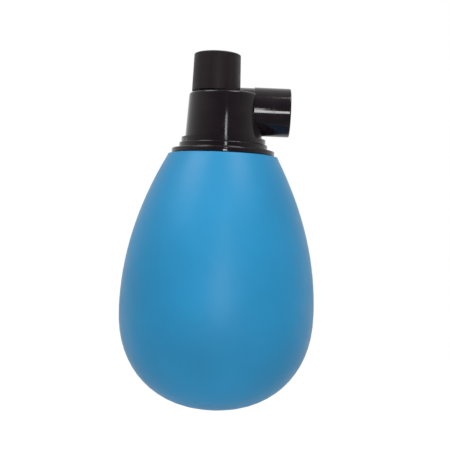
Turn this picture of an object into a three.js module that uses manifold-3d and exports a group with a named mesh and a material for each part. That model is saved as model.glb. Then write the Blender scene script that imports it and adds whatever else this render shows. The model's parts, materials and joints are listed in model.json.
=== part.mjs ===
// Pipette filler bulb: a soft bulb under a valve head with a side socket and a push button.
// Millimetres, +Z up the bulb's axis. Heights are first counted from the flange's underside; at the
// end the whole is moved so that the origin is the centre of the socket's mouth, which faces +X.

import * as THREE from 'three';
import { mergeVertices } from 'three/addons/utils/BufferGeometryUtils.js';
import Module from 'manifold-3d';

const wasm = await Module();
wasm.setup();

// ---- Fits ----
const pressFit = 0.05; // radial, between pieces pushed together
const runningFit = 0.08; // radial, between the stem and its bush
const stackGap = 0.05; // between faces that rest on each other
const softFit = 0.3; // between the bulb and what it is stretched over

// ---- Bulb ----
const bulbRadius = 30;
const bulbUpperHeight = 47.95; // mouth down to the widest place
const bulbLowerHeight = 30.2; // widest place down to the bottom
const bulbLowerFullness = 2.22; // exponent of the lower half's oval, 2 is an ellipse
const bulbWall = 2.2;
const bulbLipProud = 0.85; // how far the mouth's lip stands outside the flange
const bulbCollarBelowSpigot = 1;
const bulbFlareHeight = 4;

// ---- Base plug ----
const flangeRadius = 15.9;
const flangeHeight = 1.7;
const stepRadius = 13.65;
const stepHeight = 1.85;
const edgeChamfer = 0.25;
const plugWall = 1.55;
const plugLedge = 0.95;
const plugSpigotLength = 8;
const barbHeight = 0.9;
const barbTop = 3.6; // below the flange
const barbLength = 2.6;

// ---- Valve housing ----
const valveOffset = 2.9; // the valve and button stand this far from the bulb's axis, away from the socket
const chamberRadius = 4.8;
const spigotWall = 0.8;
const spigotLength = 5; // below the housing's foot
const housingRingSection = 0.9;
const housingRingDrop = 2.2; // middle of the ring's groove below the foot
const footRadius = 13;
const footHeight = 1.55;
const bodyBaseRadius = 11.9;
const bodyTopRadius = 11.15;
const bodyEdgeRound = 0.8;
const rimHeight = 0.85; // rim round the well that the button goes down into
const seatHeight = 2.3; // valve seat above the foot's top
const passageRadius = 1.3;
const passageCover = 0.15;
const glandShoulder = 0.5;
const glandShoulderGap = 0.2; // around the stem
const stemRingSection = 0.96;
const stemRingRoom = 0.14;
const bushSeatLength = 1.15;
const bushWall = 1.87;
const bushTowerWall = 1.07;
const bushTowerHeight = 3.65;

// ---- Socket ----
const socketRadius = 7.5;
const socketReach = 20.1; // mouth from the bulb's axis
const socketFloor = 8.8; // the sleeve's inner end from the bulb's axis
const socketAboveFoot = 1.3;
const sleeveWall = 2.2;
const sleeveLip = 0.6;
const sleeveLipHeight = 0.4;
const mouthChamfer = 0.4;
const bossUndersize = 0.25;
const bossButtonGap = 0.25; // between the button and its well
const washerThickness = 0.8;
const sealMouthWall = 0.7;
const sealGripRadius = 3.3;
const sealGripDepth = 7.4;
const sealStopRadius = 2.4;

// ---- Plunger ----
const stemRadius = 1.6;
const stemBore = 0.7;
const stemCollarReach = 0.5; // outside the stem
const stemCollarHeight = 1;
const stemTail = 0.4;
const throatGap = 0.5;
const discGap = 0.6;
const discThickness = 1.5;
const carrierInset = 0.6;
const carrierThickness = 1;
const nutThickness = 1.5;
const nutAcrossFlats = 5.5;
const pressTravel = 1.3;
const travelReserve = 0.2;

// ---- Button ----
const buttonBaseRadius = 7.5;
const buttonTopRadius = 7.2;
const buttonWall = 1.1;
const buttonCrown = 2.2;
const buttonDome = 0.7;
const buttonFlatRadius = 5;
const hubWall = 1.05;
const hubClearance = 0.3;
const hubGrip = 1.9;
const plugRecess = 0.28;

// ---- Vent in the button ----
const ballRadius = 1.1;
const ballRoom = 0.4;
const ballLift = 0.6;
const ventSeatThickness = 0.7;
const ventSpringMean = 0.85;
const ventWire = 0.4;
const ventSpringTurns = 2;
const ventPlugRadius = 2.4;
const ventPlugThickness = 1.6;
const ventHoleRadius = 0.6;

// ---- Return spring ----
const springWire = 0.8;
const springActiveTurns = 4.5;
const springEndPitch = 0.9;
const springWasherThickness = 0.4;
const springWasherGap = 0.15;

// ---- Facets ----
const bulbFacets = 40;
const outerFacets = 48;
const innerFacets = 24;
const wireFacets = 8;
const wireStepsPerTurn = 12;

// ---- Heights above the flange's underside ----
const footBottom = flangeHeight + stepHeight;
const footTop = footBottom + footHeight;
const socketHeight = footTop + socketRadius + socketAboveFoot;
const glandBottom = socketHeight + passageRadius + passageCover;
const stemRingFloor = glandBottom + glandShoulder;
const bushFloor = stemRingFloor + stemRingSection + stemRingRoom;
const bodyTop = bushFloor + bushSeatLength;
const rimTop = bodyTop + rimHeight;
const bushTop = bodyTop + bushTowerHeight;
const seatLevel = footTop + seatHeight;
const spigotBottom = footBottom - spigotLength;
const discTop = seatLevel - stackGap;
const discBottom = discTop - discThickness;
const carrierTop = discBottom - stackGap;
const carrierBottom = carrierTop - carrierThickness;
const nutTop = carrierBottom - stackGap;
const nutBottom = nutTop - nutThickness;
const stemBottom = nutBottom - stemTail;
const buttonBottom = bodyTop + pressTravel + travelReserve;
const hubBottom = bushTop + pressTravel + hubClearance;
const stemTop = hubBottom + hubGrip;
const ventSeatBottom = stemTop + stackGap;
const ventSeatTop = ventSeatBottom + ventSeatThickness;
const ballCentre = ventSeatTop + Math.sqrt(ballRadius ** 2 - stemBore ** 2) + stackGap;
const ventWireReach = ballRadius + ventWire / 2 + stackGap;
const ventSpringLow = ballCentre + Math.sqrt(ventWireReach ** 2 - ventSpringMean ** 2);
const ventSpringHigh = ventSpringLow + ventSpringTurns * ventWire + ballLift;
const ventPlugBottom = ventSpringHigh + ventWire / 2 + stackGap;
const ventPlugTop = ventPlugBottom + ventPlugThickness;
const buttonTop = ventPlugTop + plugRecess;
const buttonCeiling = buttonTop - buttonCrown;
const springWasherTop = bodyTop + stackGap + springWasherThickness;

// ---- Radii that follow from the fits ----
const bushBore = stemRadius + runningFit;
const bushTowerRadius = bushBore + bushTowerWall;
const glandShoulderRadius = stemRadius + glandShoulderGap;
const stemCollarRadius = stemRadius + stemCollarReach;
const housingSpigotRadius = valveOffset + chamberRadius + spigotWall + housingRingSection;
const plugBore = housingSpigotRadius + pressFit;
const plugSpigotRadius = plugBore + plugWall;
const plugLedgeRadius = plugBore - plugLedge;
const bulbMouthRadius = flangeRadius + bulbLipProud;
const bulbBore = plugSpigotRadius + softFit;
const throatRadius = stemCollarRadius + throatGap;
const stemHole = stemRadius + pressFit;
const stemRingMean = stemRadius + stemRingRoom + stemRingSection / 2;
const stemRingPocket = stemRingMean + stemRingSection / 2 + stemRingRoom;
const bushRadius = bushBore + bushWall;
const discRadius = chamberRadius - discGap;
const buttonCup = buttonTopRadius - buttonWall;
const springMean = (bushTowerRadius + buttonCup) / 2;
const chamberOfBall = ballRadius + ballRoom;
const hubRadius = stemHole + hubWall;
const sleeveBore = socketRadius - sleeveWall;
const sealRadius = sleeveBore - pressFit;
const buttonWellRadius = buttonBaseRadius + bossButtonGap;

// ---- Materials ----
function plastic(colour, roughness) {
  return new THREE.MeshStandardMaterial({ color: colour, roughness, metalness: 0 });
}

function metal(colour, roughness) {
  return new THREE.MeshStandardMaterial({ color: colour, roughness, metalness: 1 });
}

const blueRubber = () => plastic(0x4a96c4, 0.45);
const glossBlack = () => plastic(0x2c2428, 0.18);
const satinBlack = () => plastic(0x332b2e, 0.4);
const sealRubber = () => plastic(0x1b1a1c, 0.7);
const nylon = () => plastic(0xd8d4c8, 0.5);
const springSteel = () => metal(0xb8babd, 0.3);
const brass = () => metal(0xb99a55, 0.35);

// ---- Solid helpers ----
function closedGeometry(geometry) {
  geometry.deleteAttribute('normal');
  geometry.deleteAttribute('uv');
  const merged = mergeVertices(geometry);
  const source = merged.index.array;
  const kept = [];
  for (let i = 0; i < source.length; i += 3) {
    const [a, b, c] = [source[i], source[i + 1], source[i + 2]];
    if (a !== b && b !== c && c !== a) kept.push(a, b, c);
  }
  merged.setIndex(kept);
  if (signedVolume(merged) < 0) merged.setIndex(kept.reverse());
  return merged;
}

function signedVolume(geometry) {
  const [a, b, c] = [new THREE.Vector3(), new THREE.Vector3(), new THREE.Vector3()];
  const { position } = geometry.attributes;
  const index = geometry.index.array;
  let total = 0;
  for (let i = 0; i < index.length; i += 3) {
    a.fromBufferAttribute(position, index[i]);
    b.fromBufferAttribute(position, index[i + 1]);
    c.fromBufferAttribute(position, index[i + 2]);
    total += a.dot(b.cross(c)) / 6;
  }
  return total;
}

function toManifold(geometry) {
  const vertProperties = Float32Array.from(geometry.attributes.position.array);
  const triVerts = Uint32Array.from(geometry.index.array);
  return new wasm.Manifold(new wasm.Mesh({ numProp: 3, vertProperties, triVerts }));
}

function fromManifold(manifold) {
  const { vertProperties, triVerts } = manifold.getMesh();
  const geometry = new THREE.BufferGeometry();
  geometry.setAttribute('position', new THREE.BufferAttribute(vertProperties, 3));
  geometry.setIndex(new THREE.BufferAttribute(triVerts, 1));
  return geometry;
}

// An outline of [radius, height] points turned about +Z: it starts and ends on the axis, or closes.
function turned(outline, facets) {
  const points = outline.map(([radius, height]) => new THREE.Vector2(radius, height));
  return closedGeometry(new THREE.LatheGeometry(points, facets).rotateX(Math.PI / 2));
}

// The same outline turned about +X: its heights become distances along X.
function turnedAlongX(outline, facets) {
  return turned(outline, facets).rotateY(Math.PI / 2);
}

// A turned piece with a hole right through: the outline is closed on itself.
function turnedRing(outline, facets) {
  return turned([...outline, outline[0]], facets);
}

function plainRing(inner, outer, bottom, top, facets) {
  return turnedRing([[inner, bottom], [outer, bottom], [outer, top], [inner, top]], facets);
}

function plainRod(radius, bottom, top, facets) {
  return turned([[0, bottom], [radius, bottom], [radius, top], [0, top]], facets);
}

function oRing(mean, section, height, facets) {
  const ring = new THREE.TorusGeometry(mean, section / 2, wireFacets, facets);
  return closedGeometry(ring).translate(0, 0, height);
}

// Points of a quarter round from angle 0 (outwards) to a right angle (upwards), ends included.
function quarterRound(centreRadius, centreHeight, reach, rise, steps) {
  const points = [];
  for (let i = 0; i <= steps; i += 1) {
    const angle = (i / steps) * (Math.PI / 2);
    points.push([centreRadius + reach * Math.cos(angle), centreHeight + rise * Math.sin(angle)]);
  }
  return points;
}

class Coil extends THREE.Curve {
  constructor(mean, low, high, activeTurns, endPitch) {
    super();
    Object.assign(this, { mean, low, high, activeTurns });
    this.endTurns = endPitch > 0 ? 1 : 0;
    this.endRise = endPitch * this.endTurns;
    this.turns = activeTurns + 2 * this.endTurns;
  }

  height(turn) {
    const last = this.endTurns + this.activeTurns;
    if (turn < this.endTurns) return this.low + this.endRise * turn;
    if (turn > last) return this.high - this.endRise * (this.turns - turn);
    const share = (turn - this.endTurns) / this.activeTurns;
    return this.low + this.endRise + share * (this.high - this.low - 2 * this.endRise);
  }

  getPoint(t, target = new THREE.Vector3()) {
    const turn = t * this.turns;
    const angle = turn * 2 * Math.PI;
    return target.set(this.mean * Math.cos(angle), this.mean * Math.sin(angle), this.height(turn));
  }
}

function coilSpring(coil, wire) {
  const section = new THREE.Shape();
  section.absarc(0, 0, wire / 2, 0, 2 * Math.PI);
  const steps = Math.ceil(coil.turns * wireStepsPerTurn);
  return closedGeometry(new THREE.ExtrudeGeometry(section, {
    steps, extrudePath: coil, curveSegments: wireFacets / 2, bevelEnabled: false,
  }));
}

// ---- Bulb ----
function upperOutline(shift, from, to, steps) {
  const points = [];
  for (let i = 0; i <= steps; i += 1) {
    const height = from + (to - from) * (i / steps);
    const share = (bulbUpperHeight + height) / bulbUpperHeight;
    points.push([bulbRadius - (bulbRadius - bulbMouthRadius) * share ** 2 - shift, height]);
  }
  return points;
}

function lowerOutline(shift, steps) {
  const power = 2 / bulbLowerFullness;
  const points = [];
  for (let i = 1; i < steps; i += 1) {
    const angle = (i / steps) * (Math.PI / 2);
    const radius = (bulbRadius - shift) * Math.cos(angle) ** power;
    const drop = (bulbLowerHeight - shift) * Math.sin(angle) ** power;
    points.push([radius, -bulbUpperHeight - drop]);
  }
  points.push([0, -bulbUpperHeight - bulbLowerHeight + shift]);
  return points;
}

function bulb() {
  const boreEnd = -plugSpigotLength - bulbCollarBelowSpigot;
  const groove = bulbBore + barbHeight;
  const outside = [...upperOutline(0, -softFit, -bulbUpperHeight, 8), ...lowerOutline(0, 9)];
  const inside = [
    ...upperOutline(bulbWall, boreEnd - bulbFlareHeight, -bulbUpperHeight, 6),
    ...lowerOutline(bulbWall, 7),
  ].reverse();
  const mouth = [
    [bulbBore, boreEnd],
    [bulbBore, -barbTop - barbLength - softFit],
    [groove, -barbTop - softFit],
    [groove, -barbTop + softFit],
    [bulbBore, -barbTop + softFit],
    [bulbBore, -softFit],
  ];
  return turned([...outside, ...inside, ...mouth, outside[0]], bulbFacets);
}

// ---- Head pieces on the bulb's axis ----
function basePlug() {
  return turnedRing([
    [plugLedgeRadius, -plugSpigotLength],
    [plugSpigotRadius, -plugSpigotLength],
    [plugSpigotRadius, -barbTop - barbLength],
    [plugSpigotRadius + barbHeight, -barbTop],
    [plugSpigotRadius, -barbTop],
    [plugSpigotRadius, 0],
    [flangeRadius - edgeChamfer, 0],
    [flangeRadius, edgeChamfer],
    [flangeRadius, flangeHeight - edgeChamfer],
    [flangeRadius - edgeChamfer, flangeHeight],
    [stepRadius, flangeHeight],
    [stepRadius, footBottom - edgeChamfer],
    [stepRadius - edgeChamfer, footBottom],
    [plugBore, footBottom],
    [plugBore, spigotBottom - stackGap],
    [plugLedgeRadius, spigotBottom - stackGap],
  ], outerFacets);
}

function housingORing() {
  const mean = housingSpigotRadius - housingRingSection / 2 + pressFit / 2;
  return oRing(mean, housingRingSection - pressFit, footBottom - housingRingDrop, outerFacets);
}

function housingOutside() {
  const halfGroove = housingRingSection / 2 + pressFit;
  const grooveMiddle = footBottom - housingRingDrop;
  const grooveFloor = housingSpigotRadius - housingRingSection - pressFit;
  const foot = footBottom + stackGap;
  return turned([
    [0, spigotBottom],
    [housingSpigotRadius, spigotBottom],
    [housingSpigotRadius, grooveMiddle - halfGroove],
    [grooveFloor, grooveMiddle - halfGroove],
    [grooveFloor, grooveMiddle + halfGroove],
    [housingSpigotRadius, grooveMiddle + halfGroove],
    [housingSpigotRadius, foot],
    [footRadius, foot],
    [footRadius, footTop - edgeChamfer],
    [footRadius - edgeChamfer, footTop],
    [bodyBaseRadius, footTop],
    ...quarterRound(bodyTopRadius - bodyEdgeRound, rimTop - bodyEdgeRound, bodyEdgeRound, bodyEdgeRound, 4),
    [0, rimTop],
  ], outerFacets);
}

function valveHousing() {
  const clear = 1; // a cut runs this far past the face that it opens
  const throughPocket = rimTop + clear;
  const onValveAxis = (radius, bottom, top, facets) => (
    toManifold(plainRod(radius, bottom, top, facets).translate(-valveOffset, 0, 0))
  );
  const alongSocket = (radius, from, to, facets) => (
    toManifold(plainRod(radius, from, to, facets).rotateY(Math.PI / 2).translate(0, 0, socketHeight))
  );
  const cuts = [
    onValveAxis(chamberRadius, spigotBottom - clear, seatLevel, outerFacets),
    onValveAxis(throatRadius, seatLevel - clear, glandBottom, innerFacets),
    onValveAxis(glandShoulderRadius, glandBottom - clear, stemRingFloor + clear / 2, innerFacets),
    onValveAxis(stemRingPocket, stemRingFloor, bushFloor + clear / 2, innerFacets),
    onValveAxis(bushRadius + pressFit, bushFloor, throughPocket, innerFacets),
    onValveAxis(buttonWellRadius, bodyTop, socketHeight + socketRadius, outerFacets),
    alongSocket(passageRadius, -valveOffset, socketFloor + clear, innerFacets),
    alongSocket(socketRadius + pressFit, socketFloor, socketReach, outerFacets),
  ];
  const boss = alongSocket(socketRadius - bossUndersize, 0, socketFloor, outerFacets);
  const blank = toManifold(housingOutside()).add(boss);
  return fromManifold(cuts.reduce((solid, cut) => solid.subtract(cut), blank));
}

// ---- Pieces in the socket, on its own axis ----
function socketSleeve() {
  const lipStart = socketReach - sleeveLip;
  const outline = [
    [sleeveBore, socketFloor + stackGap],
    [socketRadius, socketFloor + stackGap],
    [socketRadius, socketReach - mouthChamfer],
    [socketRadius - mouthChamfer, socketReach],
    [sleeveBore - sleeveLipHeight, socketReach],
    [sleeveBore - sleeveLipHeight, lipStart],
    [sleeveBore, lipStart],
  ];
  return turnedAlongX([...outline, outline[0]], outerFacets);
}

function socketWasher() {
  const start = socketFloor + stackGap;
  const ring = plainRing(passageRadius, sealRadius, start, start + washerThickness, outerFacets);
  return ring.rotateY(Math.PI / 2);
}

function pipetteSeal() {
  const start = socketFloor + washerThickness + 2 * stackGap;
  const end = socketReach - sleeveLip - stackGap;
  const outline = [
    [sealStopRadius, start],
    [sealRadius, start],
    [sealRadius, end],
    [sealRadius - sealMouthWall, end],
    [sealGripRadius, socketReach - sealGripDepth],
    [sealStopRadius, socketReach - sealGripDepth],
  ];
  return turnedAlongX([...outline, outline[0]], outerFacets);
}

// ---- Pieces on the valve's axis ----
function glandBush() {
  return turnedRing([
    [bushBore, bushFloor + stackGap],
    [bushRadius, bushFloor + stackGap],
    [bushRadius, bodyTop],
    [bushTowerRadius, bodyTop],
    [bushTowerRadius, bushTop],
    [bushBore, bushTop],
  ], innerFacets);
}

function stemORing() {
  const height = stemRingFloor + (stemRingSection + stemRingRoom) / 2;
  return oRing(stemRingMean, stemRingSection, height, innerFacets);
}

function springWasher() {
  const inner = bushTowerRadius + springWasherGap;
  const outer = springMean + springWire;
  return plainRing(inner, outer, bodyTop + stackGap, springWasherTop, innerFacets);
}

function returnSpring() {
  const halfWire = springWire / 2 + stackGap;
  const coil = new Coil(
    springMean, springWasherTop + halfWire, buttonCeiling - halfWire, springActiveTurns, springEndPitch,
  );
  return coilSpring(coil, springWire);
}

function plungerStem() {
  return turnedRing([
    [stemBore, stemBottom],
    [stemRadius, stemBottom],
    [stemRadius, seatLevel],
    [stemCollarRadius, seatLevel],
    [stemCollarRadius, seatLevel + stemCollarHeight],
    [stemRadius, seatLevel + stemCollarHeight],
    [stemRadius, stemTop],
    [stemBore, stemTop],
  ], innerFacets);
}

function valveDisc() {
  return plainRing(stemHole, discRadius, discBottom, discTop, innerFacets);
}

function discCarrier() {
  return plainRing(stemHole, discRadius - carrierInset, carrierBottom, carrierTop, innerFacets);
}

function discNut() {
  const corner = nutAcrossFlats / Math.sqrt(3);
  const hexagon = new THREE.Shape();
  for (let i = 0; i < 6; i += 1) {
    const angle = (i * Math.PI) / 3;
    const place = [corner * Math.cos(angle), corner * Math.sin(angle)];
    if (i === 0) hexagon.moveTo(...place);
    else hexagon.lineTo(...place);
  }
  hexagon.closePath();
  const hole = new THREE.Path();
  hole.absarc(0, 0, stemHole, 0, 2 * Math.PI);
  hexagon.holes.push(hole);
  const geometry = new THREE.ExtrudeGeometry(hexagon, {
    depth: nutThickness, curveSegments: innerFacets, bevelEnabled: false,
  });
  return closedGeometry(geometry).translate(0, 0, nutBottom);
}

function buttonCap() {
  const edgeHeight = buttonTop - buttonDome;
  const roundReach = buttonTopRadius - buttonFlatRadius;
  const recess = ventPlugRadius + pressFit;
  return turnedRing([
    [buttonCup, buttonBottom],
    [buttonBaseRadius - edgeChamfer, buttonBottom],
    [buttonBaseRadius, buttonBottom + edgeChamfer],
    ...quarterRound(buttonFlatRadius, edgeHeight, roundReach, buttonDome, 5),
    [recess, buttonTop],
    [recess, ventPlugBottom - stackGap],
    [chamberOfBall, ventPlugBottom - stackGap],
    [chamberOfBall, stemTop + stackGap],
    [stemHole, stemTop + stackGap],
    [stemHole, hubBottom],
    [hubRadius, hubBottom],
    [hubRadius, buttonCeiling],
    [buttonCup, buttonCeiling],
  ], outerFacets);
}

function ventSeat() {
  return plainRing(stemBore, chamberOfBall - pressFit, ventSeatBottom, ventSeatTop, innerFacets);
}

function ventBall() {
  return closedGeometry(new THREE.SphereGeometry(ballRadius, 16, 10)).translate(0, 0, ballCentre);
}

function ventSpring() {
  return coilSpring(new Coil(ventSpringMean, ventSpringLow, ventSpringHigh, ventSpringTurns, 0), ventWire);
}

function ventPlug() {
  return plainRing(ventHoleRadius, ventPlugRadius, ventPlugBottom, ventPlugTop, innerFacets);
}

// ---- Assembly ----
function piece(name, geometry, material) {
  const mesh = new THREE.Mesh(geometry, material);
  mesh.name = name;
  return mesh;
}

const onBulbAxis = new THREE.Group();
onBulbAxis.add(
  piece('bulb', bulb(), blueRubber()),
  piece('base_plug', basePlug(), glossBlack()),
  piece('housing_o_ring', housingORing(), sealRubber()),
  piece('valve_housing', valveHousing(), glossBlack()),
);

const onSocketAxis = new THREE.Group();
onSocketAxis.position.z = socketHeight;
onSocketAxis.add(
  piece('socket_sleeve', socketSleeve(), glossBlack()),
  piece('socket_washer', socketWasher(), sealRubber()),
  piece('pipette_seal', pipetteSeal(), sealRubber()),
);

const onValveAxis = new THREE.Group();
onValveAxis.position.x = -valveOffset;
onValveAxis.add(
  piece('gland_bush', glandBush(), nylon()),
  piece('stem_o_ring', stemORing(), sealRubber()),
  piece('spring_washer', springWasher(), springSteel()),
  piece('return_spring', returnSpring(), springSteel()),
  piece('plunger_stem', plungerStem(), nylon()),
  piece('valve_disc', valveDisc(), sealRubber()),
  piece('disc_carrier', discCarrier(), brass()),
  piece('disc_nut', discNut(), brass()),
  piece('button_cap', buttonCap(), satinBlack()),
  piece('vent_seat', ventSeat(), sealRubber()),
  piece('vent_ball', ventBall(), springSteel()),
  piece('vent_spring', ventSpring(), springSteel()),
  piece('vent_plug', ventPlug(), satinBlack()),
);

const group = new THREE.Group();
group.position.set(-socketReach, 0, -socketHeight);
group.add(onBulbAxis, onSocketAxis, onValveAxis);

export default group;
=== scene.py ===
import json
import math

import bpy
from bpy.props import FloatProperty, FloatVectorProperty, IntProperty, PointerProperty
from bpy.types import Operator, Panel, PropertyGroup
from mathutils import Matrix, Vector


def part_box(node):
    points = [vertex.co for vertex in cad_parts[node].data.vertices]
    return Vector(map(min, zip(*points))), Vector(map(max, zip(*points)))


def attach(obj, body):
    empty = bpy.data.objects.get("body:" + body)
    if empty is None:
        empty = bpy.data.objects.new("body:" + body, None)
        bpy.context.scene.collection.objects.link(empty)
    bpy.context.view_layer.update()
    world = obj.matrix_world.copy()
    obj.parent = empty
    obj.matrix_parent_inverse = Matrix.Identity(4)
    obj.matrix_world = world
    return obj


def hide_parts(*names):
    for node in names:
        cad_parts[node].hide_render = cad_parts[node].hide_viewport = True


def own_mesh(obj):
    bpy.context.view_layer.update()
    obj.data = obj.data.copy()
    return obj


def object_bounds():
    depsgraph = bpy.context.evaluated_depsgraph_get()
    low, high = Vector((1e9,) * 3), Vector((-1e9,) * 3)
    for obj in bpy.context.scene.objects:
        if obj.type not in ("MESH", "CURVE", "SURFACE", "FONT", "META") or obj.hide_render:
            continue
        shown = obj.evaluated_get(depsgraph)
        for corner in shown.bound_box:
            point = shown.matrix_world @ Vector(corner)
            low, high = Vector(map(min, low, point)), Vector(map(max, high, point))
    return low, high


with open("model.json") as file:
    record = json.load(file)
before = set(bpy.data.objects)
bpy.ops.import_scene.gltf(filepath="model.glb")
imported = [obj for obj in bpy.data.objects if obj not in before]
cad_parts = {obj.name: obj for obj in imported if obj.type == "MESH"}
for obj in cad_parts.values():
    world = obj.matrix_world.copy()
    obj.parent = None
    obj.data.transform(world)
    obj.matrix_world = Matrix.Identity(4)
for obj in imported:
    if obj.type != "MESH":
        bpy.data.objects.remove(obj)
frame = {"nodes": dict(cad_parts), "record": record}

bl_info = {
    "name": "Pipette Filler Bulb",
    "version": (1, 0, 0),
    "blender": (4, 5, 0),
    "location": "View3D > Sidebar > Filler Bulb",
    "description": "Builds a squeeze bulb with a valve head, a pipette socket and a push button",
    "category": "Object",
}

CAD_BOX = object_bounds()
REST_GAP = 0.00005  # what the frame leaves between faces that rest on each other
MERGE_DISTANCE = 1e-6
PAST_FACE = 0.001  # how far a cut runs past the face that it opens
SMALL_SIDES = 64  # steps round the small bores and plugs


# ---------------------------------------------------------------- places taken from the frame

def radius_of(node):
    """Radius of a node that is turned about a vertical axis."""
    low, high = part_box(node)
    return (high.y - low.y) / 2


def axis_of(node):
    """Middle of a node in X and Y, at height 0."""
    low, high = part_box(node)
    return Vector(((low.x + high.x) / 2, (low.y + high.y) / 2, 0))


BULB_LOW, BULB_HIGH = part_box("bulb")
BULB_AXIS = axis_of("bulb")
PLUG_LOW, PLUG_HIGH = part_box("base_plug")
HOUSING_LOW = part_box("valve_housing")[0]
SLEEVE_LOW, SLEEVE_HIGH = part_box("socket_sleeve")
SEAL_LOW, SEAL_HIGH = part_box("pipette_seal")
CAP_LOW, CAP_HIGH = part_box("button_cap")
BUTTON_AXIS = axis_of("button_cap")
BODY_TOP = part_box("spring_washer")[0].z - REST_GAP


# ---------------------------------------------------------------- settings

def length(name, description, default):
    return FloatProperty(name=name, description=description, default=default, unit="LENGTH", precision=5)


def colour(name, description, default):
    return FloatVectorProperty(
        name=name, description=description, default=default, subtype="COLOR", size=3, min=0, max=1
    )


class BulbSettings(PropertyGroup):
    lip_gap: length("Lip Gap", "Between the bulb's mouth and the flange above it", 0.00002)
    lip_round: length("Lip Round", "Rounding of the mouth's outer edge", 0.0005)
    wall: length("Wall", "Thickness of the rubber", 0.0022)
    upper_height: length("Upper Height", "From the flange down to the widest place", 0.04795)
    mouth_radius: length("Mouth Radius", "Outside of the mouth under the flange", 0.01675)
    bore_radius: length("Bore Radius", "Inside of the mouth, round the spigot", 0.0113)
    collar_height: length("Collar Height", "Length of the thick mouth below the flange", 0.009)
    fullness: FloatProperty(
        name="Fullness", description="Exponent of the lower half's oval, 2 is an ellipse",
        default=2.22, min=1.5, max=4,
    )
    rings: IntProperty(name="Rings", description="Outline steps above the widest place", default=16, min=6)
    sides: IntProperty(name="Sides", description="Steps round the bulb", default=96, min=24)


class HeadSettings(PropertyGroup):
    flange_height: length("Flange Height", "Thickness of the flange on the bulb", 0.0017)
    step_height: length("Step Height", "First step above the flange", 0.00185)
    step_radius: length("Step Radius", "Outside of the first step", 0.01365)
    foot_height: length("Foot Height", "Second step, the housing's own foot", 0.00155)
    body_base_radius: length("Body Base Radius", "Housing just above its foot", 0.0119)
    body_top_radius: length("Body Top Radius", "Housing at its top, so its sides have draft", 0.01115)
    body_edge_round: length("Body Edge Round", "Rounding of the housing's top edge", 0.0008)
    rim_height: length("Rim Height", "Rim round the well that the button goes down into", 0.00085)
    edge_round: length("Edge Round", "Rounding of the moulded edges", 0.00022)
    step_round: length("Step Round", "Rounding of the flange's and the steps' edges", 0.0004)
    spigot_radius: length("Spigot Radius", "Housing where it goes into the base plug", 0.0094)
    chamber_radius: length("Chamber Radius", "Room round the valve disc", 0.0048)
    throat_radius: length("Throat Radius", "Bore above the valve seat", 0.0026)
    passage_radius: length("Passage Radius", "Bore between the throat and the socket", 0.0013)
    spigot_gap: length("Spigot Gap", "Between the plug's spigot and the bulb's mouth", 0.0003)
    barb_height: length("Barb Height", "Barb that holds the bulb's mouth", 0.0009)
    barb_drop: length("Barb Drop", "From the flange down to the barb", 0.0036)
    barb_length: length("Barb Length", "Length of the barb's slope", 0.0027)
    gland_radius: length("Gland Radius", "Hole for the stem under its seal", 0.0018)
    gland_height: length("Gland Height", "Thickness of the shoulder under the stem's seal", 0.0005)
    gland_room: length("Gland Room", "Space round the stem's seal", 0.00014)
    boss_undersize: length("Boss Undersize", "How much smaller the boss is than the sleeve", 0.00025)
    button_gap: length("Button Gap", "Between the button and its well", 0.00025)
    sides: IntProperty(name="Sides", description="Steps round the turned pieces", default=128, min=32)


class SocketSettings(PropertyGroup):
    wall: length("Wall", "Thickness of the sleeve", 0.0022)
    lip: length("Lip", "Length of the lip that keeps the seal in", 0.0006)
    lip_height: length("Lip Height", "How far the lip stands in", 0.0004)
    mouth_round: length("Mouth Round", "Rounding of the mouth's outer edge", 0.0004)
    edge_round: length("Edge Round", "Rounding of the sleeve's other edges", 0.00012)
    seal_round: length("Seal Round", "Rounding of the seal's edges", 0.00025)
    seal_mouth_wall: length("Seal Mouth Wall", "Seal's thickness at its mouth", 0.0007)
    grip_radius: length("Grip Radius", "Seal's bore where a pipette is held", 0.0033)
    grip_depth: length("Grip Depth", "From the socket's mouth to the seal's stop", 0.0074)
    stop_radius: length("Stop Radius", "Hole in the seal's stop", 0.0024)


class ButtonSettings(PropertyGroup):
    top_radius: length("Top Radius", "Button at its top, so its sides have draft", 0.0072)
    flat_radius: length("Flat Radius", "Flat part of the button's top", 0.005)
    dome: length("Dome", "Fall from the flat to the button's side", 0.0007)
    wall: length("Wall", "Thickness of the button's skirt", 0.0011)
    crown: length("Crown", "Thickness of the button's top", 0.0022)
    stem_radius: length("Stem Radius", "Stem that the button is pressed on", 0.0016)
    hub_wall: length("Hub Wall", "Wall round the stem inside the button", 0.00105)
    hub_rise: length("Hub Rise", "From the bush's top up to the hub", 0.0016)
    ball_room: length("Ball Room", "Space round the check ball", 0.0004)
    vent_hole: length("Vent Hole", "Radius of the air outlet", 0.0006)
    vent_mouth: length("Vent Mouth", "Countersink round the air outlet", 0.0003)
    plug_round: length("Plug Round", "Rounding of the vent plug's edges", 0.0001)


class SpringSettings(PropertyGroup):
    return_wire: length("Return Wire", "Wire of the return spring", 0.0008)
    return_turns: FloatProperty(name="Return Turns", description="Turns of the return spring", default=6.5)
    return_end_pitch: length("Return End Pitch", "Rise of each end turn of the return spring", 0.0009)
    ball_wire: length("Ball Wire", "Wire of the check ball's spring", 0.0004)
    ball_turns: FloatProperty(name="Ball Turns", description="Turns of the check ball's spring", default=2)


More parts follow.
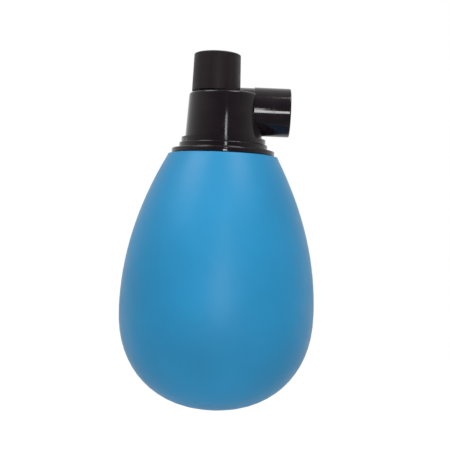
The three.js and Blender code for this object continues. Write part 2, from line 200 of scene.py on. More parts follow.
class FinishSettings(PropertyGroup):
    bulb_blue: colour("Bulb Blue", "Colour of the rubber bulb", (0.024, 0.305, 0.600))
    head_black: colour("Head Black", "Polished plastic of the head", (0.0125, 0.0085, 0.011))
    button_black: colour("Button Black", "Satin plastic of the button", (0.0135, 0.0078, 0.0098))
    seal_black: colour("Seal Black", "Rubber of the seals", (0.012, 0.012, 0.013))
    nylon_cream: colour("Nylon Cream", "Natural nylon of stem and bush", (0.68, 0.65, 0.58))
    steel_grey: colour("Steel Grey", "Springs, ball and washer", (0.22, 0.22, 0.225))
    brass_yellow: colour("Brass Yellow", "Disc carrier and nut", (0.62, 0.45, 0.18))


class StudioSettings(PropertyGroup):
    camera_distance: length("Camera Distance", "From the bulb's axis", 0.300)
    camera_height: length("Camera Height", "Above the bulb's lowest point", 0.0567)
    camera_side: length("Camera Side", "Right of the bulb's axis", 0.00158)
    camera_roll: FloatProperty(
        name="Camera Roll", description="Lean of the object in the picture",
        default=math.radians(2.44), subtype="ANGLE",
    )
    lens: FloatProperty(name="Lens", description="Focal length in mm on a 36 mm sensor", default=77.6)
    drop: length("Drop", "Floor below the bulb, which hangs from its socket", 0.040)
    floor_size: length("Floor Size", "Side of the floor", 6.0)
    floor_glow: FloatProperty(
        name="Floor Glow", description="Share of the floor that shows no shadow",
        default=0.86,
    )
    floor_white: FloatProperty(
        name="Floor White", description="Strength of the floor's own glow",
        default=1.14,
    )
    ambient: FloatProperty(name="Ambient", description="Strength of the even light", default=0.20)
    dim_room: FloatProperty(
        name="Dim Room", description="What reflections see in front of the object",
        default=0.08,
    )


GROUPS = {
    "filler_bulb": BulbSettings,
    "filler_head": HeadSettings,
    "filler_socket": SocketSettings,
    "filler_button": ButtonSettings,
    "filler_springs": SpringSettings,
    "filler_finish": FinishSettings,
    "filler_studio": StudioSettings,
}


# ---------------------------------------------------------------- modelling

def deselect():
    if bpy.context.mode != "OBJECT":
        bpy.ops.object.mode_set(mode="OBJECT")
    bpy.ops.object.select_all(action="DESELECT")


def choose(piece):
    deselect()
    piece.select_set(True)
    bpy.context.view_layer.objects.active = piece


def draw_outline(name, points):
    """A line of edges through the points, drawn out one vertex at a time."""
    deselect()
    bpy.ops.mesh.primitive_plane_add(size=0.001, location=(0, 0, 0))
    piece = bpy.context.active_object
    piece.name = name
    piece.data.name = name
    bpy.ops.object.mode_set(mode="EDIT")
    bpy.ops.mesh.select_all(action="SELECT")
    bpy.ops.mesh.merge(type="CENTER")
    bpy.ops.transform.translate(value=points[0])
    for here, there in zip(points, points[1:]):
        bpy.ops.mesh.extrude_region_move(TRANSFORM_OT_translate={"value": there - here})
    return piece


def close_and_turn_out():
    bpy.ops.mesh.select_all(action="SELECT")
    bpy.ops.mesh.remove_doubles(threshold=MERGE_DISTANCE)
    bpy.ops.mesh.dissolve_degenerate(threshold=MERGE_DISTANCE)
    bpy.ops.mesh.normals_make_consistent(inside=False)
    bpy.ops.object.mode_set(mode="OBJECT")


def turned(name, outline, centre, sides, along_x=False):
    """An outline of (radius, place along the axis), spun round a vertical axis or one along X."""
    if along_x:
        points = [Vector((place, 0, radius)) + centre for radius, place in outline]
        axis = (1, 0, 0)
    else:
        points = [Vector((radius, 0, place)) + centre for radius, place in outline]
        axis = (0, 0, 1)
    piece = draw_outline(name, points)
    bpy.ops.mesh.select_all(action="SELECT")
    bpy.ops.mesh.spin(steps=sides, angle=2 * math.pi, center=centre, axis=axis)
    close_and_turn_out()
    return piece


def ring(outline):
    """The same outline, closed on itself for a piece with a hole through it."""
    return [*outline, outline[0]]


def quarter_round(centre_radius, centre_height, reach, rise, steps):
    """Points from outwards to upwards, ends included."""
    points = []
    for step in range(steps + 1):
        angle = math.pi / 2 * step / steps
        points.append((centre_radius + reach * math.cos(angle), centre_height + rise * math.sin(angle)))
    return points


def apply_modifier(piece, kind, **values):
    choose(piece)
    modifier = piece.modifiers.new(name=kind.title(), type=kind)
    for key, value in values.items():
        setattr(modifier, key, value)
    bpy.ops.object.modifier_apply(modifier=modifier.name)


def round_edges(piece, width, segments=3, sharper_than=30):
    apply_modifier(
        piece, "BEVEL", width=width, segments=segments, limit_method="ANGLE",
        angle_limit=math.radians(sharper_than), miter_outer="MITER_ARC", use_clamp_overlap=True,
    )


def cut(piece, cutter):
    apply_modifier(piece, "BOOLEAN", operation="DIFFERENCE", solver="EXACT", object=cutter)
    bpy.data.objects.remove(cutter)


def join(piece, other):
    apply_modifier(piece, "BOOLEAN", operation="UNION", solver="EXACT", object=other)
    bpy.data.objects.remove(other)


def smooth(piece, angle=35):
    """Smooth shading that leaves long flat and round faces true beside their small rounded edges."""
    choose(piece)
    bpy.ops.object.shade_smooth_by_angle(angle=math.radians(angle))
    apply_modifier(piece, "WEIGHTED_NORMAL", mode="FACE_AREA", weight=50, keep_sharp=True)


def finish_piece(piece, body, slot, material, *nodes):
    piece.data.materials.clear()
    piece.data.materials.append(material)
    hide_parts(*nodes)
    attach(piece, body)


def coil(name, centre, mean, low, high, wire, turns, end_pitch):
    """A compression spring: a curve with flat end turns, thickened and made a mesh."""
    steps_per_turn = 24
    steps = round(turns * steps_per_turn)
    deselect()
    bpy.ops.curve.primitive_nurbs_path_add(radius=mean, location=(0, 0, 0))
    path = bpy.context.active_object
    path.name = name
    path.data.splines.clear()
    spline = path.data.splines.new("POLY")
    spline.points.add(steps)
    end_turns = 1 if end_pitch else 0
    active = turns - 2 * end_turns
    for step, point in enumerate(spline.points):
        turn = step / steps_per_turn
        share = min(max((turn - end_turns) / active, 0), 1)
        flat = min(turn, end_turns) + max(turn - (turns - end_turns), 0)
        rise = high - low - 2 * end_turns * end_pitch
        angle = 2 * math.pi * turn
        rise_here = low + flat * end_pitch + share * rise
        place = Vector((mean * math.cos(angle), mean * math.sin(angle), rise_here))
        point.co = (*(place + centre), 1)
    path.data.dimensions = "3D"
    path.data.twist_mode = "MINIMUM"
    path.data.bevel_depth = wire / 2
    path.data.bevel_resolution = 3
    path.data.use_fill_caps = True
    choose(path)
    bpy.ops.object.convert(target="MESH")
    spring = bpy.context.active_object
    bpy.ops.object.mode_set(mode="EDIT")
    close_and_turn_out()
    smooth(spring, 50)
    return spring


# ---------------------------------------------------------------- finishes

class Finish:
    """A material's nodes, with the few kinds of link that every finish here uses."""

    def __init__(self, roughness, base, metallic=0.0, specular=0.5):
        self.material = bpy.data.materials.new("finish")
        self.material.use_nodes = True
        self.material.diffuse_color = (*base, 1)
        self.nodes = self.material.node_tree.nodes
        self.links = self.material.node_tree.links
        self.shader = self.nodes["Principled BSDF"]
        self.shader.inputs["Base Color"].default_value = (*base, 1)
        self.shader.inputs["Roughness"].default_value = roughness
        self.shader.inputs["Metallic"].default_value = metallic
        self.shader.inputs["Specular IOR Level"].default_value = specular
        self.place = self.nodes.new("ShaderNodeTexCoord").outputs["Object"]

    def stretched(self, scale):
        mapping = self.nodes.new("ShaderNodeMapping")
        mapping.inputs["Scale"].default_value = scale
        self.links.new(self.place, mapping.inputs["Vector"])
        return mapping.outputs["Vector"]

    def noise(self, scale, detail=3.0, stretch=None, distortion=0.0):
        texture = self.nodes.new("ShaderNodeTexNoise")
        texture.inputs["Scale"].default_value = scale
        texture.inputs["Detail"].default_value = detail
        texture.inputs["Distortion"].default_value = distortion
        self.links.new(self.stretched(stretch) if stretch else self.place, texture.inputs["Vector"])
        return texture.outputs["Fac"]

    def spread(self, value, low, high, start=0.3, end=0.7):
        """Value between start and end, spread from low to high."""
        node = self.nodes.new("ShaderNodeMapRange")
        node.inputs["From Min"].default_value = start
        node.inputs["From Max"].default_value = end
        node.inputs["To Min"].default_value = low
        node.inputs["To Max"].default_value = high
        self.links.new(value, node.inputs["Value"])
        return node.outputs["Result"]

    def blend(self, value, first, second, start=0.3, end=0.7):
        ramp = self.nodes.new("ShaderNodeValToRGB")
        ramp.color_ramp.elements[0].position = start
        ramp.color_ramp.elements[0].color = (*first, 1)
        ramp.color_ramp.elements[1].position = end
        ramp.color_ramp.elements[1].color = (*second, 1)
        self.links.new(value, ramp.inputs["Fac"])
        return ramp.outputs["Color"]

    def added(self, first, second):
        node = self.nodes.new("ShaderNodeMath")
        node.operation = "ADD"
        self.links.new(first, node.inputs[0])
        self.links.new(second, node.inputs[1])
        return node.outputs["Value"]

    def bump(self, value, strength, distance):
        node = self.nodes.new("ShaderNodeBump")
        node.inputs["Strength"].default_value = strength
        node.inputs["Distance"].default_value = distance
        self.links.new(value, node.inputs["Height"])
        self.links.new(node.outputs["Normal"], self.shader.inputs["Normal"])

    def to(self, socket, value):
        self.links.new(value, self.shader.inputs[socket])


def shade(base, factor):
    return tuple(min(channel * factor, 1) for channel in base)


def bulb_rubber(finish):
    """Moulded rubber: an even blue, a little cloudy, with the fine skin of a rubber mould."""
    made = Finish(0.42, finish.bulb_blue)
    made.shader.inputs["IOR"].default_value = 1.38
    clouds = made.noise(38, 4)
    made.to("Base Color", made.blend(clouds, shade(finish.bulb_blue, 0.93), shade(finish.bulb_blue, 1.07)))
    made.to("Roughness", made.spread(made.noise(160, 3), 0.38, 0.45))
    skin = made.noise(2600, 2)
    made.bump(made.added(skin, made.spread(made.noise(300, 2), 0, 1.5)), 0.12, 0.00006)
    return made.material


def polished_plastic(finish):
    """The head's moulded plastic: glossy, with the faint dullness and hair scratches of handling."""
    made = Finish(0.2, finish.head_black, specular=0.42)
    worn = made.noise(240, 5)
    made.to("Base Color", made.blend(worn, shade(finish.head_black, 0.85), shade(finish.head_black, 1.2)))
    scratches = made.noise(900, 2, stretch=(1, 1, 0.06), distortion=0.4)
    dull = made.spread(worn, 0.07, 0.12)
    made.to("Roughness", made.added(dull, made.spread(scratches, 0, 0.08, 0.62, 0.75)))
    made.bump(made.added(made.noise(420, 2), scratches), 0.05, 0.00003)
    return made.material


def satin_plastic(finish):
    """The button's plastic: rubbed satin by the thumb, with faint upright flow marks."""
    made = Finish(0.4, finish.button_black, specular=0.3)
    marks = made.noise(700, 3, stretch=(1, 1, 0.05))
    made.to("Base Color", made.blend(marks, shade(finish.button_black, 0.8), shade(finish.button_black, 1.3)))
    made.to("Roughness", made.spread(made.noise(420, 4), 0.40, 0.52))
    made.bump(made.added(marks, made.noise(1800, 2)), 0.10, 0.00003)
    return made.material


def seal_rubber(finish):
    """Black seal rubber: matt, with a dusty grain."""
    made = Finish(0.7, finish.seal_black, specular=0.35)
    dust = made.noise(1500, 4)
    made.to("Base Color", made.blend(dust, finish.seal_black, shade(finish.seal_black, 2.2), 0.45, 0.8))
    made.to("Roughness", made.spread(dust, 0.6, 0.8))
    made.bump(dust, 0.2, 0.00004)
    return made.material


def natural_nylon(finish):
    """Natural nylon: creamy, slightly clouded, with turning marks."""
    made = Finish(0.45, finish.nylon_cream)
    made.to("Base Color", made.blend(made.noise(300, 3), shade(finish.nylon_cream, 0.9), finish.nylon_cream))
    marks = made.noise(2200, 2, stretch=(0.1, 0.1, 1))
    made.to("Roughness", made.spread(marks, 0.38, 0.52))
    made.bump(marks, 0.15, 0.00003)
    return made.material


def drawn_steel(finish):
    """Bright drawn steel: long fine draw marks and a little grey oxide."""
    made = Finish(0.3, finish.steel_grey, metallic=1.0)
    made.to("Base Color", made.blend(made.noise(600, 3), shade(finish.steel_grey, 0.75), finish.steel_grey))
    marks = made.noise(3000, 3, stretch=(1, 1, 0.2))
    made.to("Roughness", made.spread(marks, 0.22, 0.38))
    made.bump(marks, 0.1, 0.00002)
    return made.material


def turned_brass(finish):
    """Turned brass: fine rings from the tool and a little tarnish."""
    made = Finish(0.3, finish.brass_yellow, metallic=1.0)
    tarnish = shade(finish.brass_yellow, 0.6)
    made.to("Base Color", made.blend(made.noise(500, 4), tarnish, finish.brass_yellow, 0.25, 0.5))
    marks = made.noise(4000, 2, stretch=(0.1, 0.1, 1))
    made.to("Roughness", made.spread(marks, 0.24, 0.4))
    made.bump(marks, 0.12, 0.00002)
    return made.material


FINISH_OF_SLOT = {
    "bulb_rubber": bulb_rubber,
    "head_plastic": polished_plastic,
    "button_plastic": satin_plastic,
    "seal_rubber": seal_rubber,
    "nylon": natural_nylon,
    "spring_steel": drawn_steel,
    "brass_fittings": turned_brass,
}


def material_for(slot):
    name = slot + "_finish"
    if name not in bpy.data.materials:
        FINISH_OF_SLOT[slot](bpy.context.scene.filler_finish).name = name
    return bpy.data.materials[name]


# ---------------------------------------------------------------- pieces

class FILLER_OT_bulb(Operator):
    """Hollow rubber bulb, egg-shaped, with a thick mouth under the flange"""

    bl_idname = "filler.bulb"
    bl_label = "Bulb"

    def execute(self, context):
        size = context.scene.filler_bulb
        widest = radius_of("bulb")
        head = context.scene.filler_head
        flange = PLUG_HIGH.z - head.step_height - head.flange_height
        middle = flange - size.upper_height
        top = flange - size.lip_gap

        def upper(inset, start, end, steps):
            points = []
            for step in range(steps + 1):
                height = start + (end - start) * step / steps
                share = (height - middle) / size.upper_height
                points.append((widest - (widest - size.mouth_radius) * share ** 2 - inset, height))
            return points

        def lower(inset, steps):
            power = 2 / size.fullness
            drop = middle - BULB_LOW.z - inset
            points = []
            for step in range(1, steps):
                angle = math.pi / 2 * step / steps
                across = (widest - inset) * math.cos(angle) ** power
                points.append((across, middle - drop * math.sin(angle) ** power))
            points.append((0, middle - drop))
            return points

        outside = upper(0, top - size.lip_round, middle, size.rings) + lower(0, size.rings)
        collar_end = top - size.collar_height
        flare = collar_end - size.wall * 2
        inside = upper(size.wall, flare, middle, size.rings // 2) + lower(size.wall, size.rings // 2)
        lip = quarter_round(
            outside[0][0] - size.lip_round, top - size.lip_round, size.lip_round, size.lip_round, 3
        )
        outline = [
            *reversed(inside),
            (size.bore_radius, collar_end),
            (size.bore_radius, top),
            *reversed(lip[1:]),
            *outside,
        ]
        piece = turned("rubber_bulb", outline, BULB_AXIS, size.sides)
        smooth(piece, 50)
        finish_piece(piece, "head", "bulb_rubber", material_for("bulb_rubber"), "bulb")
        return {"FINISHED"}


class FILLER_OT_base_plug(Operator):
    """Flange, first step and barbed spigot in the bulb's mouth"""

    bl_idname = "filler.base_plug"
    bl_label = "Base Plug"

    def execute(self, context):
        size = context.scene.filler_head
        bore = size.spigot_radius + REST_GAP
        spigot = context.scene.filler_bulb.bore_radius - size.spigot_gap
        flange = radius_of("base_plug")
        top = PLUG_HIGH.z
        flange_top = top - size.step_height
        flange_bottom = flange_top - size.flange_height
        barb = flange_bottom - size.barb_drop
        ledge = HOUSING_LOW.z - REST_GAP
        outline = ring([
            (bore - size.barb_height, PLUG_LOW.z),
            (spigot, PLUG_LOW.z),
            (spigot, barb - size.barb_length),
            (spigot + size.barb_height, barb),
            (spigot, barb),
            (spigot, flange_bottom),
            (flange, flange_bottom),
            (flange, flange_top),
            (size.step_radius, flange_top),
            (size.step_radius, top),
            (bore, top),
            (bore, ledge),
            (bore - size.barb_height, ledge),
        ])
        piece = turned("flange_plug", outline, BULB_AXIS, size.sides)
        round_edges(piece, size.step_round, 4)
        smooth(piece)
        finish_piece(piece, "head", "head_plastic", material_for("head_plastic"), "base_plug")
        return {"FINISHED"}


class FILLER_OT_valve_housing(Operator):
    """Drafted round body on its foot, with the socket's boss, the button's well and the valve's bores"""

    bl_idname = "filler.valve_housing"
    bl_label = "Valve Housing"

    def outside(self, size):
        groove_low, groove_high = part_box("housing_o_ring")
        groove_floor = size.spigot_radius - (groove_high.z - groove_low.z) - 2 * REST_GAP
        foot = PLUG_HIGH.z + REST_GAP
        foot_top = PLUG_HIGH.z + size.foot_height
        edge = size.body_edge_round
        rim = BODY_TOP + size.rim_height
        foot_radius = radius_of("valve_housing")
        outline = [
            (0, HOUSING_LOW.z),
            (size.spigot_radius, HOUSING_LOW.z),
            (size.spigot_radius, groove_low.z - REST_GAP),
            (groove_floor, groove_low.z - REST_GAP),
            (groove_floor, groove_high.z + REST_GAP),
            (size.spigot_radius, groove_high.z + REST_GAP),
            (size.spigot_radius, foot),
            (foot_radius, foot),
            (foot_radius, foot_top),
            (size.body_base_radius, foot_top),
            *quarter_round(size.body_top_radius - edge, rim - edge, edge, edge, 6),
            (0, rim),
        ]
        return turned("housing_body", outline, BULB_AXIS, size.sides)

    def boss(self, size):
        radius = (SLEEVE_HIGH.z - SLEEVE_LOW.z) / 2 - size.boss_undersize
        end = SLEEVE_LOW.x - REST_GAP
        outline = [(0, BULB_AXIS.x), (radius, BULB_AXIS.x), (radius, end), (0, end)]
        return turned("housing_boss", outline, Vector((0, 0, 0)), size.sides, along_x=True)

    def button_well(self, size):
        radius = radius_of("button_cap") + size.button_gap
        outline = [(0, BODY_TOP), (radius, BODY_TOP), (radius, SLEEVE_HIGH.z), (0, SLEEVE_HIGH.z)]
        return turned("button_well", outline, BUTTON_AXIS, size.sides)

    def valve_bore(self, size):
        ring_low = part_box("stem_o_ring")[0].z - size.gland_room / 2
        ring_room = radius_of("stem_o_ring") + size.gland_room
        bush_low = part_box("gland_bush")[0].z - REST_GAP
        bush_room = radius_of("gland_bush") + REST_GAP
        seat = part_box("valve_disc")[1].z + REST_GAP
        shoulder = ring_low - size.gland_height
        outline = [
            (0, HOUSING_LOW.z - PAST_FACE),
            (size.chamber_radius, HOUSING_LOW.z - PAST_FACE),
            (size.chamber_radius, seat),
            (size.throat_radius, seat),
            (size.throat_radius, shoulder),
            (size.gland_radius, shoulder),
            (size.gland_radius, ring_low),
            (ring_room, ring_low),
            (ring_room, bush_low),
            (bush_room, bush_low),
            (bush_room, BODY_TOP + PAST_FACE),
            (0, BODY_TOP + PAST_FACE),
        ]
        return turned("valve_bore", outline, BUTTON_AXIS, SMALL_SIDES)

    def socket_bore(self, size):
        floor = SLEEVE_LOW.x - REST_GAP
        pocket = (SLEEVE_HIGH.z - SLEEVE_LOW.z) / 2 + REST_GAP
        outline = [
            (0, BUTTON_AXIS.x),
            (size.passage_radius, BUTTON_AXIS.x),
            (size.passage_radius, floor),
            (pocket, floor),
            (pocket, SLEEVE_HIGH.x),
            (0, SLEEVE_HIGH.x),
        ]
        return turned("socket_bore", outline, Vector((0, 0, 0)), size.sides, along_x=True)

    def execute(self, context):
        size = context.scene.filler_head
        piece = self.outside(size)
        boss = self.boss(size)
        join(piece, boss)
        cut(piece, self.button_well(size))
        cut(piece, self.socket_bore(size))
        cut(piece, self.valve_bore(size))
        round_edges(piece, size.edge_round)
        smooth(piece)
        finish_piece(piece, "head", "head_plastic", material_for("head_plastic"), "valve_housing")
        return {"FINISHED"}


class FILLER_OT_socket(Operator):
    """Side tube that a pipette goes into, and the tapered rubber seal inside it"""

    bl_idname = "filler.socket"
    bl_label = "Socket"

    def sleeve(self, size, sides):
        radius = (SLEEVE_HIGH.z - SLEEVE_LOW.z) / 2
        bore = radius - size.wall
        mouth = SLEEVE_HIGH.x
        bend = size.mouth_round
        outline = ring([
            (bore, SLEEVE_LOW.x),
            (radius, SLEEVE_LOW.x),
            *quarter_round(radius - bend, mouth - bend, bend, bend, 4),
            (bore - size.lip_height, mouth),
            (bore - size.lip_height, mouth - size.lip),
            (bore, mouth - size.lip),
        ])
        piece = turned("socket_tube", outline, Vector((0, 0, 0)), sides, along_x=True)
        round_edges(piece, size.edge_round, 2, 40)
        smooth(piece)
        finish_piece(piece, "head", "head_plastic", material_for("head_plastic"), "socket_sleeve")

    def seal(self, size, sides):
        radius = (SEAL_HIGH.z - SEAL_LOW.z) / 2
        stop = SLEEVE_HIGH.x - size.grip_depth
        outline = ring([
            (size.stop_radius, SEAL_LOW.x),
            (radius, SEAL_LOW.x),
            (radius, SEAL_HIGH.x),
            (radius - size.seal_mouth_wall, SEAL_HIGH.x),
            (size.grip_radius, stop),
            (size.stop_radius, stop),
        ])
        piece = turned("pipette_grip", outline, Vector((0, 0, 0)), sides, along_x=True)
        round_edges(piece, size.seal_round, 3, 40)
        smooth(piece)
        finish_piece(piece, "head", "seal_rubber", material_for("seal_rubber"), "pipette_seal")

    def execute(self, context):
        sides = context.scene.filler_head.sides
        self.sleeve(context.scene.filler_socket, sides)
        self.seal(context.scene.filler_socket, sides)
        return {"FINISHED"}


class FILLER_OT_button(Operator):
    """Push button: a drafted cup with a rounded top, and the vent plug with the air outlet"""

    bl_idname = "filler.button"
    bl_label = "Button"

    def cup(self, size, head):
        recess = radius_of("vent_plug") + REST_GAP
        plug_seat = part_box("vent_plug")[0].z - REST_GAP
        stem_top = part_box("plunger_stem")[1].z + REST_GAP
        stem_hole = size.stem_radius + REST_GAP
        ball_room = radius_of("vent_ball") + size.ball_room
        hub = stem_hole + size.hub_wall
        inside = size.top_radius - size.wall
        ceiling = CAP_HIGH.z - size.crown
        hub_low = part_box("gland_bush")[1].z + size.hub_rise
        reach = size.top_radius - size.flat_radius
        outline = ring([
            (inside, CAP_LOW.z),
            (radius_of("button_cap"), CAP_LOW.z),
            *quarter_round(size.flat_radius, CAP_HIGH.z - size.dome, reach, size.dome, 12),
            (recess, CAP_HIGH.z),
            (recess, plug_seat),
            (ball_room, plug_seat),
            (ball_room, stem_top),
            (stem_hole, stem_top),
            (stem_hole, hub_low),
            (hub, hub_low),
            (hub, ceiling),
            (inside, ceiling),
        ])
        piece = turned("push_button", outline, BUTTON_AXIS, head.sides)
        round_edges(piece, head.edge_round, 3, 40)
        smooth(piece)
        finish_piece(piece, "plunger", "button_plastic", material_for("button_plastic"), "button_cap")

    def vent_plug(self, size):
        low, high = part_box("vent_plug")
        outline = ring([
            (size.vent_hole, low.z),
            (radius_of("vent_plug"), low.z),
            (radius_of("vent_plug"), high.z),
            (size.vent_hole + size.vent_mouth, high.z),
            (size.vent_hole, high.z - size.vent_mouth),
        ])
        piece = turned("outlet_plug", outline, BUTTON_AXIS, SMALL_SIDES)
        round_edges(piece, size.plug_round, 2, 40)
        smooth(piece)
        finish_piece(piece, "plunger", "button_plastic", material_for("button_plastic"), "vent_plug")

    def execute(self, context):
        self.cup(context.scene.filler_button, context.scene.filler_head)
        self.vent_plug(context.scene.filler_button)
        return {"FINISHED"}


class FILLER_OT_springs(Operator):
    """Return spring under the button and the small spring on the check ball"""

    bl_idname = "filler.springs"
    bl_label = "Springs"

    def spring(self, name, node, body, joint, wire, turns, end_pitch, held_at_top):
        low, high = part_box(node)
        mean = radius_of(node) - wire / 2
        piece = coil(
            name, BUTTON_AXIS, mean, low.z + wire / 2, high.z - wire / 2, wire, turns, end_pitch
        )
        finish_piece(piece, body, "spring_steel", material_for("spring_steel"), node)
        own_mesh(piece)

    def execute(self, context):
        size = context.scene.filler_springs
        self.spring(
            "button_spring", "return_spring", "head", "button_press",
            size.return_wire, size.return_turns, size.return_end_pitch, held_at_top=False,
        )
        self.spring(
            "ball_spring", "vent_spring", "plunger", "ball_lift",
            size.ball_wire, size.ball_turns, end_pitch=0, held_at_top=True,
        )
        return {"FINISHED"}


class FILLER_OT_inner_pieces(Operator):
    """Finishes on the frame's own pieces that stay in view: seals, bush, stem, disc, nut, ball"""

    bl_idname = "filler.inner_pieces"
    bl_label = "Inner Pieces"

    def execute(self, context):
        slots = {row["node"]: row["material_slot"] for row in frame["record"]["subparts"]}
        for name, node in frame["nodes"].items():
            node.data.materials.clear()
            node.data.materials.append(material_for(slots[name]))
        return {"FINISHED"}


# ---------------------------------------------------------------- stage

def ray_kind(nodes, *kinds):
    """1 for rays of any of the kinds given, 0 for the rest."""
    links = nodes.id_data.links
    rays = nodes.new("ShaderNodeLightPath").outputs
    total = rays[kinds[0]]
    for kind in kinds[1:]:
        either = nodes.new("ShaderNodeMath")
        either.operation = "MAXIMUM"
        links.new(total, either.inputs[0])
        links.new(rays[kind], either.inputs[1])
        total = either.outputs["Value"]
    return total


def mixed_number(nodes, factor, first, second):
    """A blend of two values, each of which is a number or a socket."""
    links = nodes.id_data.links
    mix = nodes.new("ShaderNodeMix")
    links.new(factor, mix.inputs["Factor"])
    for socket, value in (("A", first), ("B", second)):
        if isinstance(value, (int, float)):
            mix.inputs[socket].default_value = value
        else:
            links.new(value, mix.inputs[socket])
    return mix.outputs["Result"]


def room_seen(nodes, place, near, far, dim, white=1.0):
    """White, but reflections see a dim room in front of the object and white behind it."""
    links = nodes.id_data.links
    axes = nodes.new("ShaderNodeSeparateXYZ")
    links.new(place, axes.inputs["Vector"])
    room = nodes.new("ShaderNodeMapRange")
    room.inputs["From Min"].default_value = near
    room.inputs["From Max"].default_value = far
    room.inputs["To Min"].default_value = dim
    links.new(axes.outputs["Y"], room.inputs["Value"])
    return mixed_number(nodes, ray_kind(nodes, "Is Glossy Ray"), white, room.outputs["Result"])


LOOKING = ("Is Camera Ray", "Is Glossy Ray", "Is Transmission Ray")
FLOOR_NEAR, FLOOR_FAR = -0.1, 0.15  # where the floor starts and ends to brighten in reflections
ROOM_NEAR, ROOM_FAR = -0.95, 0.95  # the same for the room, in the direction's Y


def floor_material(studio):
    """Matt white that takes shadow, with a glow that only rays that look at it see."""
    material = bpy.data.materials.new("studio_white")
    material.use_nodes = True
    nodes = material.node_tree.nodes
    links = material.node_tree.links
    shader = nodes["Principled BSDF"]
    shader.inputs["Base Color"].default_value = (0.8, 0.8, 0.8, 1)
    shader.inputs["Roughness"].default_value = 0.9
    shader.inputs["Specular IOR Level"].default_value = 0.1
    place = nodes.new("ShaderNodeTexCoord").outputs["Object"]
    glow = nodes.new("ShaderNodeEmission")
    seen = room_seen(nodes, place, FLOOR_NEAR, FLOOR_FAR, studio.dim_room, studio.floor_white)
    links.new(seen, glow.inputs["Strength"])
    share = mixed_number(nodes, ray_kind(nodes, *LOOKING), 0.0, studio.floor_glow)
    both = nodes.new("ShaderNodeMixShader")
    links.new(share, both.inputs["Fac"])
    links.new(shader.outputs["BSDF"], both.inputs[1])
    links.new(glow.outputs["Emission"], both.inputs[2])
    links.new(both.outputs["Shader"], nodes["Material Output"].inputs["Surface"])
    return material


def studio_world(studio):
    """Even light, in a room that is white behind the object."""
    world = bpy.data.worlds.new("studio")
    bpy.context.scene.world = world
    world.use_nodes = True
    nodes = world.node_tree.nodes
    links = world.node_tree.links
    background = nodes["Background"]
    background.inputs["Color"].default_value = (1, 1, 1, 1)
    direction = nodes.new("ShaderNodeTexCoord").outputs["Generated"]
    room = room_seen(nodes, direction, ROOM_NEAR, ROOM_FAR, studio.dim_room)
    strength = mixed_number(nodes, ray_kind(nodes, *LOOKING), studio.ambient, room)
    links.new(strength, background.inputs["Strength"])


# Name, height that it is aimed at on the bulb's axis, bearing from the front towards the right and
# height above level (degrees), distance, width, height, radiance, and whether reflections show it.
SOCKET_LEVEL = 0
BULB_MIDDLE = (BULB_LOW.z + BULB_HIGH.z) / 2
LAMPS = (
    ("flash", SOCKET_LEVEL, 4.6, -4, 0.30, 0.045, 0.05, 15, True),
    ("strip", SOCKET_LEVEL, 6.05, 4.8, 0.102, 0.0085, 0.020, 9, True),
    ("left_box", SOCKET_LEVEL, -65, 50, 0.6, 0.3, 0.3, 5, True),
    ("right_box", SOCKET_LEVEL, 45, 60, 0.6, 0.25, 0.25, 7, True),
    ("fill", BULB_MIDDLE, 8, 5, 0.7, 0.35, 0.35, 2.1, False),
)


def soft_lamp(name, aim, bearing, height, distance, across, tall, radiance, reflects):
    """A rectangular lamp aimed at the bulb's axis, as the table says."""
    turn, rise = math.radians(bearing), math.radians(height)
    level = distance * math.cos(rise)
    away = Vector((level * math.sin(turn), -level * math.cos(turn), distance * math.sin(rise)))
    deselect()
    bpy.ops.object.light_add(type="AREA", location=Vector((BULB_AXIS.x, 0, aim)) + away)
    lamp = bpy.context.active_object
    lamp.name = name
    lamp.data.shape = "RECTANGLE"
    lamp.data.size = across
    lamp.data.size_y = tall
    lamp.data.energy = radiance * math.pi * across * tall
    lamp.rotation_euler = (-away).to_track_quat("-Z", "Y").to_euler()
    lamp.visible_camera = False
    lamp.visible_glossy = reflects


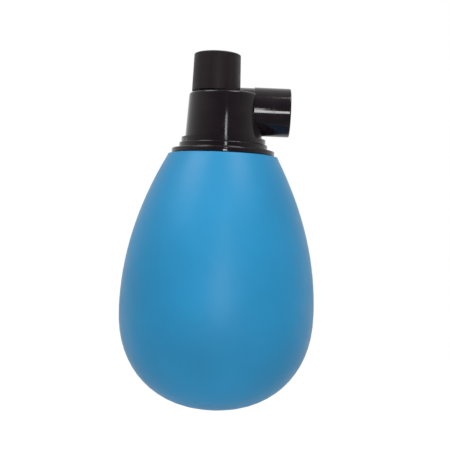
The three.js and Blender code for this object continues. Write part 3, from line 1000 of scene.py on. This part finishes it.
class FILLER_OT_stage(Operator):
    """Pale floor, a room that is white behind the object, a level camera and soft lamps"""

    bl_idname = "filler.stage"
    bl_label = "Stage"

    def floor(self, studio):
        deselect()
        bpy.ops.mesh.primitive_grid_add(
            x_subdivisions=2, y_subdivisions=2, size=studio.floor_size,
            location=(BULB_AXIS.x, 0, CAD_BOX[0].z - studio.drop),
        )
        floor = bpy.context.active_object
        floor.name = "studio_floor"
        floor.data.materials.append(floor_material(studio))

    def camera(self, studio):
        deselect()
        bpy.ops.object.camera_add(location=(
            BULB_AXIS.x + studio.camera_side, -studio.camera_distance, BULB_LOW.z + studio.camera_height,
        ))
        camera = bpy.context.active_object
        camera.data.lens = studio.lens
        camera.data.sensor_width = 36
        camera.data.clip_start = 0.01
        level = Matrix.Rotation(math.pi / 2, 4, "X")
        camera.rotation_euler = (level @ Matrix.Rotation(studio.camera_roll, 4, "Z")).to_euler()
        bpy.context.scene.camera = camera

    def execute(self, context):
        studio = context.scene.filler_studio
        self.floor(studio)
        self.camera(studio)
        studio_world(studio)
        for lamp in LAMPS:
            soft_lamp(*lamp)
        context.scene.view_settings.view_transform = "Standard"
        return {"FINISHED"}


# ---------------------------------------------------------------- panel and registration

OPERATORS = (
    FILLER_OT_bulb,
    FILLER_OT_base_plug,
    FILLER_OT_valve_housing,
    FILLER_OT_socket,
    FILLER_OT_button,
    FILLER_OT_springs,
    FILLER_OT_inner_pieces,
    FILLER_OT_stage,
)


class FILLER_PT_panel(Panel):
    """The filler bulb's settings and the steps that build it"""

    bl_idname = "FILLER_PT_panel"
    bl_label = "Pipette Filler Bulb"
    bl_space_type = "VIEW_3D"
    bl_region_type = "UI"
    bl_category = "Filler Bulb"

    def draw(self, context):
        for operator in OPERATORS:
            self.layout.operator(operator.bl_idname)
        for pointer, group in GROUPS.items():
            column = self.layout.column()
            for name in group.__annotations__:
                column.prop(getattr(context.scene, pointer), name)


CLASSES = (*GROUPS.values(), *OPERATORS, FILLER_PT_panel)


def register():
    for made in CLASSES:
        bpy.utils.register_class(made)
    for pointer, group in GROUPS.items():
        setattr(bpy.types.Scene, pointer, PointerProperty(type=group))


def unregister():
    for pointer in GROUPS:
        delattr(bpy.types.Scene, pointer)
    for made in reversed(CLASSES):
        bpy.utils.unregister_class(made)


def main():
    register()
    bpy.ops.filler.stage()
    bpy.ops.filler.bulb()
    bpy.ops.filler.base_plug()
    bpy.ops.filler.valve_housing()
    bpy.ops.filler.socket()
    bpy.ops.filler.button()
    bpy.ops.filler.springs()
    bpy.ops.filler.inner_pieces()


if __name__ == "__main__":
    main()
